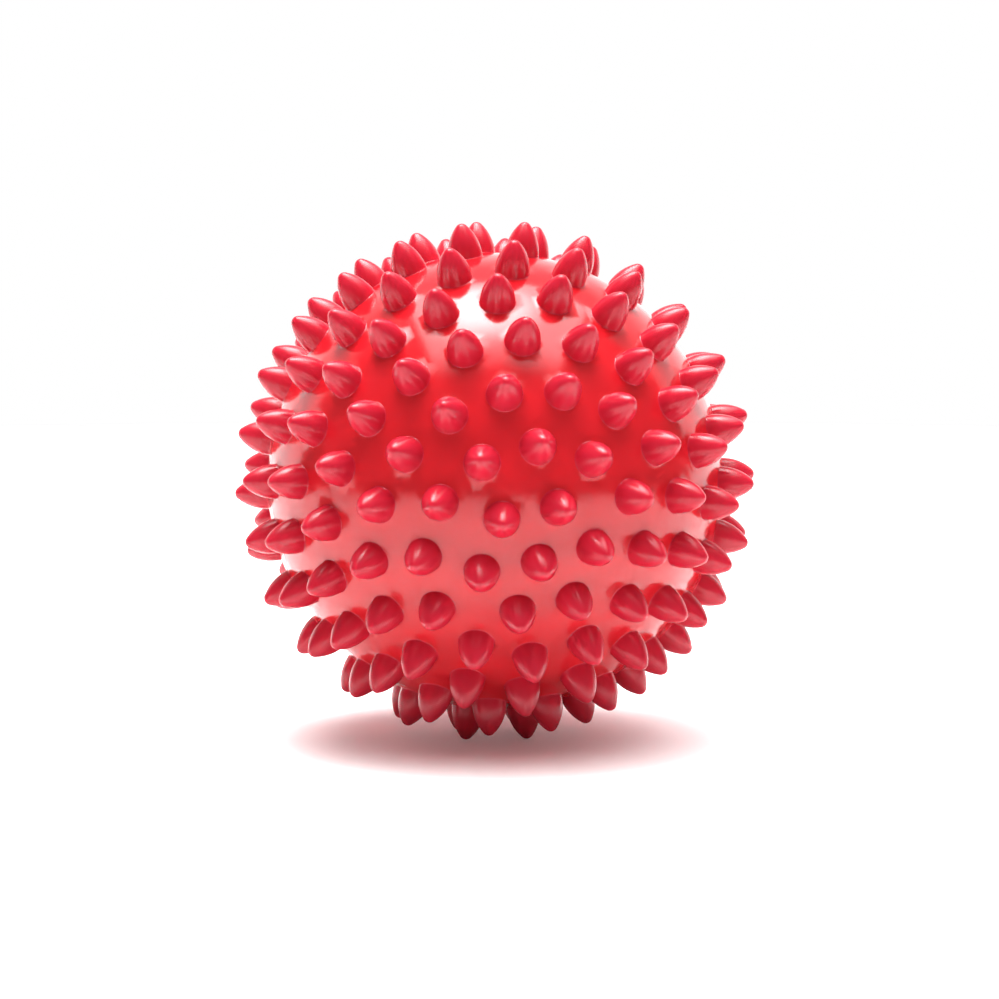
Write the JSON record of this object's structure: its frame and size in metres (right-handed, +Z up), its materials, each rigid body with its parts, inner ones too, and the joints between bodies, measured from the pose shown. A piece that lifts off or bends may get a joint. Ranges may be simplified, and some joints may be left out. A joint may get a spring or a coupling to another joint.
{
  "type": "massage ball",
  "caption": "Hollow soft vinyl ball covered all over in pointed massage nubs, with an air valve and a pull-out plug; stands on its nub tips.",
  "frame": {"origin": "centre of the ball", "axes": "+Z up as the ball stands on three nub tips; the front pole's nub points towards -Y, and the valve is on the +Y side"},
  "size_m": [0.0899, 0.0894, 0.089],
  "materials": {
    "ball_skin": "glossy soft PVC",
    "valve_seat": "semi-gloss soft PVC",
    "valve_plug": "satin"
  },
  "bodies": {
    "ball": {"ball_skin": "ball_skin", "valve_seat": "valve_seat"},
    "plug": {"valve_plug": "valve_plug"}
  },
  "joints": [
    {"name": "plug_pull", "type": "slide", "parent": "ball", "child": "plug", "axis": [-0.1796, 0.9505, 0.2535], "range_m": [0, 0.016]}
  ]
}
